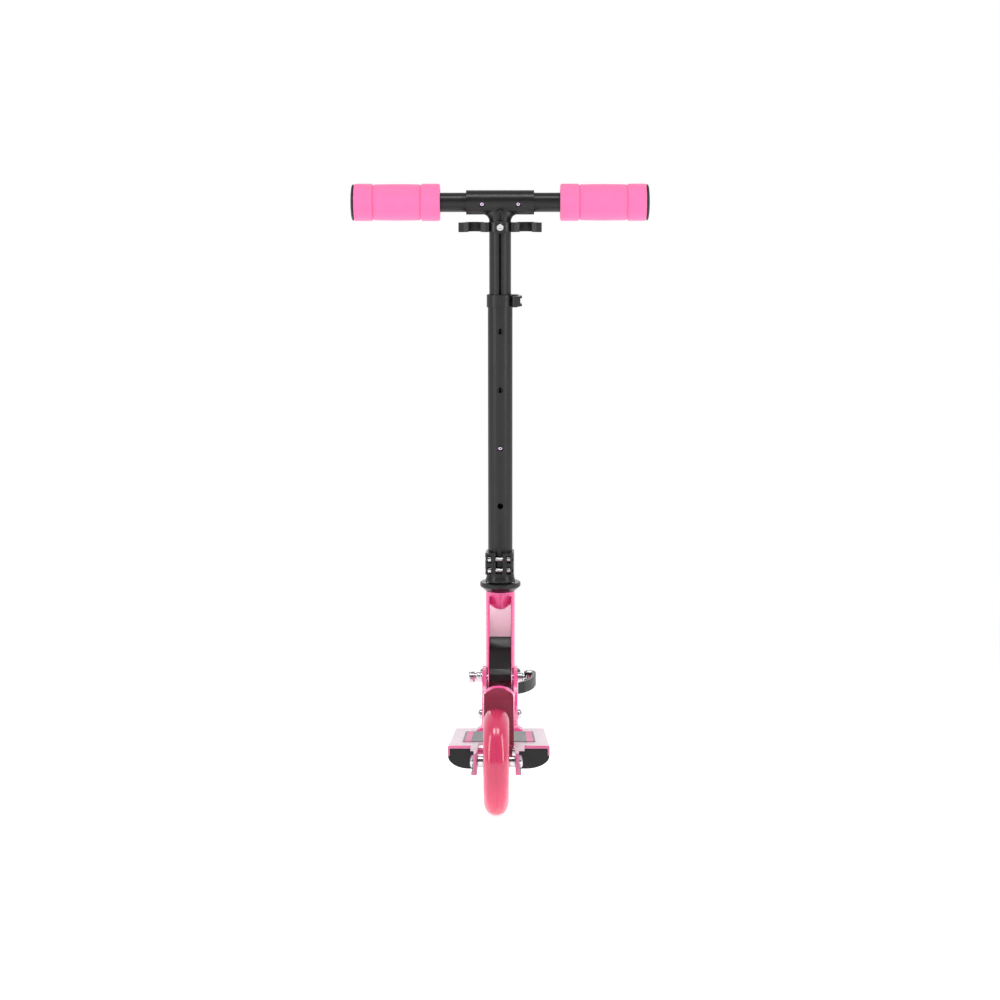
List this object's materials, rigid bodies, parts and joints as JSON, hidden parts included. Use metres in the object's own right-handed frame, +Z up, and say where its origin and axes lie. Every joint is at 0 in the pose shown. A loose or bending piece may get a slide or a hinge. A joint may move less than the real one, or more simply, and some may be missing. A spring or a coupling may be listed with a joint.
{
  "type": "kick scooter",
  "caption": "Folding kick scooter with foam grips, a telescoping column, a grip-taped deck, solid clear-tinted wheels and a fender foot brake.",
  "frame": {"origin": "on the ground midway between the two axles, on the centre line", "axes": "+X to the rider's right, +Y forwards, +Z up"},
  "size_m": [0.3428, 0.66, 0.6819],
  "materials": {
    "deck_paint": "satin pink anodised aluminium",
    "pink_paint": "gloss pink paint",
    "black_paint": "satin black paint",
    "black_plastic": "fine-grained moulded black plastic",
    "hub_plastic": "moulded core seen through the tyre",
    "bright_metal": "bright plated steel",
    "grip_tape": "coarse grit sheet with two pink stripes",
    "pink_tyre": "cast translucent pink polyurethane",
    "pink_foam": "closed-cell pink foam"
  },
  "bodies": {
    "deck": {"deck_extrusion": "deck_paint", "grip_tape": "grip_tape", "rear_end_cap_left": "black_plastic", "rear_end_cap_right": "black_plastic", "fold_bracket": "pink_paint", "bracket_bolt_rear": "bright_metal", "bracket_bolt_front": "bright_metal", "pivot_bolt": "bright_metal", "pivot_nut": "bright_metal", "rear_axle": "bright_metal", "rear_axle_nut": "bright_metal", "rear_spacer_left": "bright_metal", "rear_spacer_right": "bright_metal", "fender_pin": "bright_metal", "fender_spring": "bright_metal"},
    "rear_wheel": {"rear_tyre": "pink_tyre", "rear_hub": "hub_plastic", "rear_bearing_left": "bright_metal", "rear_bearing_right": "bright_metal"},
    "rear_brake": {"rear_fender": "pink_paint"},
    "neck": {"neck_channel": "pink_paint", "head_tube": "pink_paint", "channel_block": "black_plastic", "headset_cup_upper": "black_paint", "headset_cup_lower": "black_paint", "headset_bearing_upper": "bright_metal", "headset_bearing_lower": "bright_metal", "qr_axle": "bright_metal", "qr_nut": "bright_metal", "qr_follower": "bright_metal", "qr_cam_pin": "bright_metal"},
    "fold_lever": {"fold_lever": "black_plastic"},
    "steering": {"fork": "black_paint", "column_clamp": "black_paint", "clamp_bolt_upper": "bright_metal", "clamp_bolt_lower": "bright_metal", "headset_nut": "black_paint", "lower_column": "black_paint", "height_collar": "black_paint", "collar_bolt": "bright_metal", "front_axle": "bright_metal", "front_axle_nut": "bright_metal"},
    "front_wheel": {"front_tyre": "pink_tyre", "front_hub": "hub_plastic", "front_bearing_left": "bright_metal", "front_bearing_right": "bright_metal"},
    "collar_lever": {"collar_lever": "black_plastic"},
    "upper_column": {"upper_column": "black_paint", "handlebar_clip": "black_plastic", "clip_bolt": "bright_metal"},
    "height_button": {"height_button": "bright_metal"},
    "left_handlebar": {"left_bar": "black_paint", "left_grip": "pink_foam", "left_bar_cap": "black_plastic"},
    "left_button": {"left_button": "bright_metal"},
    "right_handlebar": {"right_bar": "black_paint", "right_grip": "pink_foam", "right_bar_cap": "black_plastic"},
    "right_button": {"right_button": "bright_metal"}
  },
  "joints": [
    {"name": "rear_wheel_spin", "type": "hinge", "parent": "deck", "child": "rear_wheel", "pos_m": [-0.0022, -0.28, 0.05], "axis": [1, 0, 0], "continuous": true},
    {"name": "brake_press", "type": "hinge", "parent": "deck", "child": "rear_brake", "pos_m": [0, -0.22, 0.056], "axis": [1, 0, 0], "range_deg": [0, 10], "stiffness_Nm_per_rad": 0.6, "springref_deg": -11.46},
    {"name": "fold", "type": "hinge", "parent": "deck", "child": "neck", "pos_m": [0, 0.124, 0.076], "axis": [1, 0, 0], "range_deg": [0, 83]},
    {"name": "fold_lever_swing", "type": "hinge", "parent": "neck", "child": "fold_lever", "pos_m": [0.0333, 0.14252, 0.11701], "axis": [0, -0.2419, 0.9703], "range_deg": [0, 150]},
    {"name": "steer", "type": "hinge", "parent": "neck", "child": "steering", "pos_m": [0, 0.28, 0.05], "axis": [0, -0.2079, 0.9781], "continuous": true},
    {"name": "front_wheel_spin", "type": "hinge", "parent": "steering", "child": "front_wheel", "pos_m": [0, 0.28, 0.05], "axis": [1, 0, 0], "continuous": true},
    {"name": "collar_lever_swing", "type": "hinge", "parent": "steering", "child": "collar_lever", "pos_m": [0.0172, 0.1639, 0.5481], "axis": [0, 0.2079, -0.9781], "range_deg": [0, 130]},
    {"name": "height_slide", "type": "slide", "parent": "steering", "child": "upper_column", "axis": [0, -0.2079, 0.9781], "range_m": [-0.068, 0.136]},
    {"name": "height_button_press", "type": "slide", "parent": "upper_column", "child": "height_button", "axis": [0, 0.9781, 0.2079], "range_m": [0, 0.0025], "stiffness_N_per_m": 500, "springref_m": -0.002},
    {"name": "left_bar_slide", "type": "slide", "parent": "upper_column", "child": "left_handlebar", "axis": [-1, 0, 0], "range_m": [0, 0.04]},
    {"name": "left_button_press", "type": "slide", "parent": "left_handlebar", "child": "left_button", "axis": [0, 0.9397, 0.342], "range_m": [0, 0.0025], "stiffness_N_per_m": 500, "springref_m": -0.002},
    {"name": "right_bar_slide", "type": "slide", "parent": "upper_column", "child": "right_handlebar", "axis": [1, 0, 0], "range_m": [0, 0.04]},
    {"name": "right_button_press", "type": "slide", "parent": "right_handlebar", "child": "right_button", "axis": [0, 0.9397, 0.342], "range_m": [0, 0.0025], "stiffness_N_per_m": 500, "springref_m": -0.002}
  ]
}
